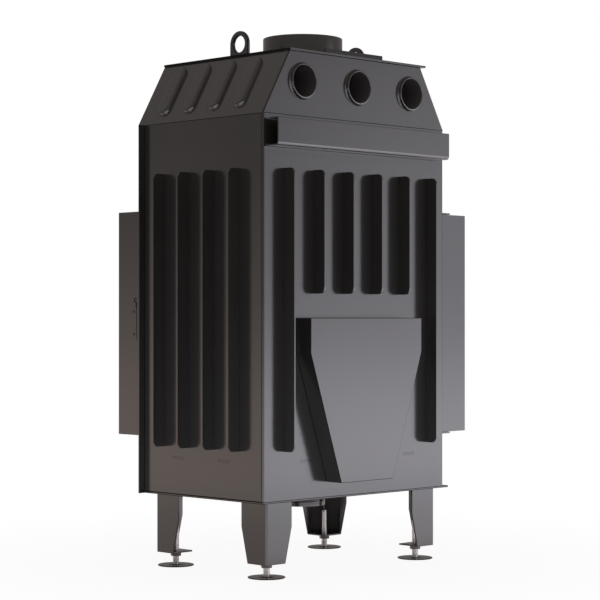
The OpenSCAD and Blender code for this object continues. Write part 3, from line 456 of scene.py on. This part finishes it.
zinc = bare_metal("zinc-plated steel", (0.88, 0.88, 0.9), 0.2, (300, 300, 900))
disc_black = sheet_paint("black foot disc", (0.03, 0.03, 0.03), 0.15)
disc_outline = [(0, 0), (43.6, 0), (44.6, 0.4), (45, 1.2), (44.9, 2.1), (44.2, 2.7), (30, 3.0), (14.4, 3.1),
                (13.2, 3.8), (12, 4), (0, 4)]
core_outline = [(0, 3.9), (6.9, 3.9), (6.9, 98.8), (6.2, 100.6), (5.4, 101), (0, 101)]
thread_start, thread_length = Vector((0, 0, 0.005)), 94
for foot in ["foot_rear_right", "foot_rear_left", "foot_front_right", "foot_front_left"]:
    low, high = (Vector(corner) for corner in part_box(foot))
    middle = Vector(((low.x + high.x) / 2, (low.y + high.y) / 2, 0))
    shown(turned(disc_outline, middle, steps=64), foot + "_disc", [disc_black], foot)
    stud = joined(turned(core_outline, middle, steps=32), thread(middle + thread_start, thread_length))
    shown(stud, foot + "_stud", [zinc], foot, foot)

# Air intake: a rolled spigot of 125 mm under the bottom plate with a pressed bead that keeps the hose clamp on, and
# above it a sliding gate in two welded guides, moved by a rod with a knob at the front.
spigot_outline = [(60.5, 0), (61.6, 0), (62, 0.5), (62, 7), (62.5, 8.2), (62.5, 10.8), (62, 12), (62, 32.5),
                  (62.5, 35), (60.5, 35), (60.5, 12.4), (61, 11), (61, 8), (60.5, 6.6)]
spigot = turned(spigot_outline, bench(320, 199, 145))
shown(spigot, "intake_spigot_ring", [anthracite], "body", "intake_spigot")
brushed = bare_metal("brushed steel", (0.62, 0.62, 0.63), 0.34, (1400, 60, 1400))
eased("air_gate_guides", "body", 0.0004, [anthracite, edge_shade_paint])
eased("air_gate", "air_control", 0.0004, [brushed])
eased("air_control_rod", "air_control", 0.0008, [zinc])
knob_foot, knob_steps = bench(320, 442.5, 199), 48
knob_outline = [(0, 24.9), (9, 24.9), (11.6, 24.2), (13.2, 22.4), (14, 19.6), (14, 4.4), (13.2, 1.4), (11.5, 0.1),
                (5.3, 0), (5.3, 12.6), (0, 12.6)]
knob = turned(knob_outline, knob_foot, up=(0, -1, 0), steps=knob_steps)
# Every second row of the barrel is pulled in, which leaves 24 finger grooves
barrel, groove = 0.0128, 0.0009
for vert in knob.verts:
    out = Vector((vert.co.x - knob_foot.x, 0, vert.co.z - knob_foot.z))
    if out.length > barrel and round(math.atan2(out.z, out.x) / (math.tau / knob_steps)) % 2:
        vert.co -= out.normalized() * groove
shown(knob, "air_control_knob_grip", [frame_black], "air_control", "air_control_knob")

# Firebox: a steel floor whose tabs show in the back and side walls, boards of pressed vermiculite round the fire,
# a board and a steel sheet above that turn the smoke, and the ledges that carry them.


def pressed_board(name, colour):
    """Pressed vermiculite: buff flakes of different tone with a pitted, matte face."""
    board, tree, shader, place = blank_finish(name)
    shader.inputs["Roughness"].default_value = 0.95
    shader.inputs["Specular IOR Level"].default_value = 0.2
    flakes = tree.nodes.new("ShaderNodeTexVoronoi")
    flakes.inputs["Scale"].default_value = 260
    tree.links.new(place, flakes.inputs["Vector"])
    dark, light = [c * 0.7 for c in colour], [c * 1.12 for c in colour]
    tree.links.new(toned(tree, flakes.outputs["Color"], dark, light), shader.inputs["Base Color"])
    pits = raised(tree, flakes.outputs["Distance"], 0.5, 0.0006)
    tree.links.new(pits.outputs["Normal"], shader.inputs["Normal"])
    return board


vermiculite = pressed_board("pressed vermiculite board", (0.62, 0.53, 0.40))
eased("chamber_floor", "body", 0.0006, [anthracite])
for board in ["lining_back", "lining_right", "lining_floor", "deflector_lower"]:
    eased(board, "body", 0.0015, [vermiculite])
for plate in ["deflector_upper", "deflector_supports"]:
    eased(plate, "body", 0.0005, [anthracite, edge_shade_paint])

# Log guard: an L-shaped slotted fence of 4 mm sheet, bent to follow the two panes. It stands on the floor boards
# and lifts out for cleaning.
eased("log_guard", "log_guard", 0.0006, [frame_black, edge_shade_paint])

# Door: a deep frame folded from 3 mm sheet round the corner window, with a groove behind for its sealing rope. It
# turns on two pins at the back end of its side wing.
eased("door_frame", "door", 0.0007, [frame_black, edge_shade_paint])

# Door panes: two sheets of clear glass ceramic that meet in a butt joint at the corner. Flat woven tape beds them
# against the frame, and spring clips screwed to the reveal press them on it.
glass, glass_tree, pane, glass_place = blank_finish("clear glass ceramic")
pane.inputs["Base Color"].default_value = (0.93, 0.95, 0.94, 1)
pane.inputs["Transmission Weight"].default_value = 1
pane.inputs["IOR"].default_value = 1.5
smears = noise(glass_tree, glass_place, 9, 5)
glass_tree.links.new(spread(glass_tree, smears, 0, 1, 0.0, 0.06), pane.inputs["Roughness"])
for sheet in ["front_glass", "side_glass"]:
    eased(sheet, "door", 0.0006, [glass])


def woven(name, colour, scale):
    """Woven glass fibre: crossing threads in tone and relief, with a dull soft sheen."""
    cloth, tree, shader, place = blank_finish(name)
    shader.inputs["Roughness"].default_value = 0.9
    shader.inputs["Sheen Weight"].default_value = 0.2
    cross = tree.nodes.new("ShaderNodeMath")
    cross.operation = "MAXIMUM"
    for number, turn in enumerate((0.785, -0.785)):
        slant = tree.nodes.new("ShaderNodeMapping")
        slant.inputs["Rotation"].default_value = (turn, 0, turn)
        tree.links.new(place, slant.inputs["Vector"])
        threads = tree.nodes.new("ShaderNodeTexWave")
        threads.inputs["Scale"].default_value = scale
        threads.inputs["Distortion"].default_value = 1.2
        tree.links.new(slant.outputs["Vector"], threads.inputs["Vector"])
        tree.links.new(threads.outputs["Fac"], cross.inputs[number])
    weave = cross.outputs[0]
    tree.links.new(toned(tree, weave, [c * 0.55 for c in colour], colour), shader.inputs["Base Color"])
    tree.links.new(raised(tree, weave, 0.7, 0.0006).outputs["Normal"], shader.inputs["Normal"])
    return cloth


tape_weave = woven("woven glass tape", (0.22, 0.21, 0.20), 210)
for strip in ["glass_tape", "glass_corner_seal"]:
    eased(strip, "door", 0.0001, [tape_weave])
eased("glass_clips", "door", 0.0003, [brushed])

# Sealing rope: a knitted glass-fibre rope of 10 mm pressed into the door's groove, one closed loop round the corner
# opening. It is squeezed against the frame plates when the door is shut.
rope_knit = woven("knitted sealing rope", (0.30, 0.29, 0.27), 150)
eased("door_seal_rope", "door", 0.0035, [rope_knit], segments=4)

# Door hinges: brackets of cut plate welded to the body below and above the door, bright pins with domed ends in
# them, and turned bushes let into the door that turn on the pins.
eased("hinge_brackets", "body", 0.0006, [anthracite, edge_shade_paint])
eased("hinge_pins", "body", 0.0008, [zinc])
eased("hinge_bushes", "door", 0.0005, [brushed])

# Handle and latch: a turned stainless grip on a shaft through the door, a hook behind it that draws in behind the
# keeper, and a steel block that guides the shaft, held by two screws from the door's end face.
stainless = bare_metal("brushed stainless steel", (0.66, 0.65, 0.63), 0.24, (1200, 1200, 90))
grip_outline = [(0, 0), (4.5, 0.2), (8, 1.4), (10, 3.6), (11, 8), (11.8, 40), (12, 66), (11.8, 96), (11.2, 112),
                (11.6, 116), (11.6, 126), (10, 130.5), (6, 133.6), (0, 134.4)]
hub_outline = [(6.2, 0), (11, 0), (12, 0.8), (12, 12), (10.6, 14.4), (10.6, 23), (0, 23), (0, 19.9), (6.2, 19.9)]
grip_bar = turned(grip_outline, bench(44, 561, 536.4), steps=48)
grip_hub = turned(hub_outline, bench(44, 534.6, 660), up=(0, -1, 0), steps=48)
shown(joined(grip_bar, grip_hub), "handle_grip_bar", [stainless], "handle", "handle_grip")
for part in ["handle_shaft", "latch_hook"]:
    eased(part, "handle", 0.0004, [zinc])
eased("latch_keeper", "body", 0.0006, [brushed])
eased("latch_block", "door", 0.0010, [nut_black])
eased("latch_dowel", "door", 0.0006, [nut_black])
screw_outline = [(0, 0.4), (1.7, 0.4), (2.0, 0.9), (2.0, 1.5), (3.0, 1.46), (3.8, 1.0), (4, 0.5), (4, 0),
                 (2.2, 0), (2.2, -26), (0, -26)]
for number, z, stands_for in [("upper", 631, ["latch_screws"]), ("lower", 574.5, [])]:
    screw = turned(screw_outline, bench(0, 469, z), up=(1, 0, 0), steps=32)
    screw = shown(screw, f"latch_screw_{number}", [nut_black], "door", *stands_for)
